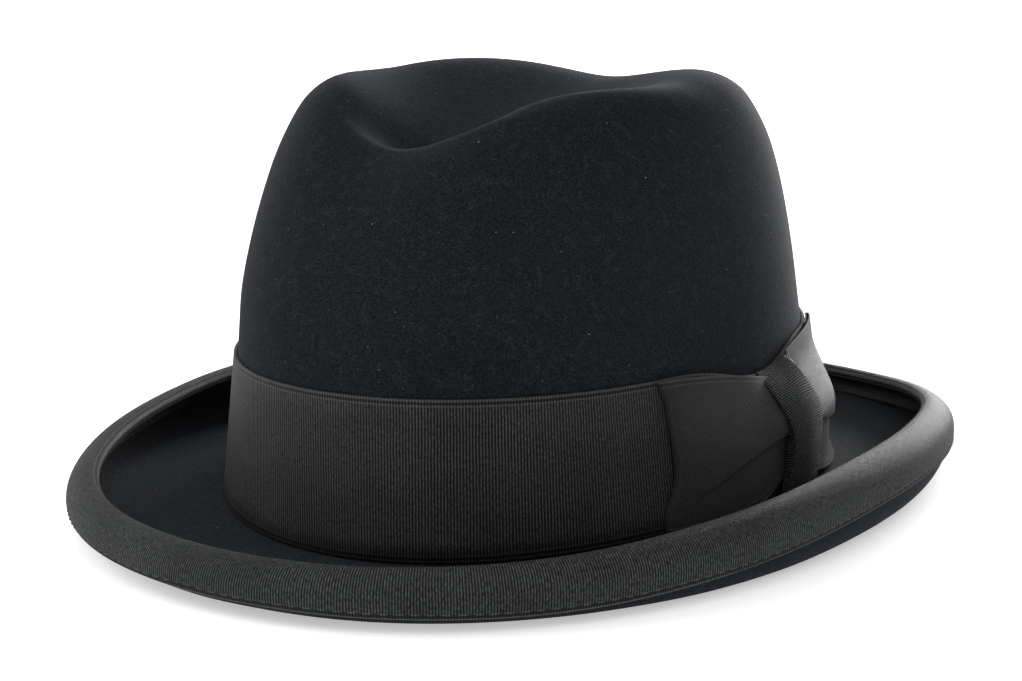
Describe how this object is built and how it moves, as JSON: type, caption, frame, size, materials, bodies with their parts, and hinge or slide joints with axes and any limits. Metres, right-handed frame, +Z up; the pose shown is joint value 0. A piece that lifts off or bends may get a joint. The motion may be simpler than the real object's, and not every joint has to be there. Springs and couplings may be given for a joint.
{
  "type": "homburg hat",
  "caption": "Dark felt homburg hat with a rolled bound brim, a gutter crown, a wide ribbon band and a flat side bow.",
  "frame": {"origin": "on the table under the middle of the brim", "axes": "+Z up, -Y towards the front of the hat, +X towards the wearer's left, where the bow is"},
  "size_m": [0.2524, 0.3169, 0.1309],
  "materials": {
    "felt": "blue-black fur felt with a fine soft nap",
    "band_ribbon": "black grosgrain ribbon, fine upright ribs",
    "binding_ribbon": "black grosgrain binding, fine ribs across, stitched"
  },
  "bodies": {
    "root": {"felt_body": "felt", "hat_band": "band_ribbon", "brim_binding": "binding_ribbon", "bow_front_loop": "band_ribbon", "bow_rear_loop": "band_ribbon", "bow_knot": "band_ribbon"}
  },
  "joints": []
}
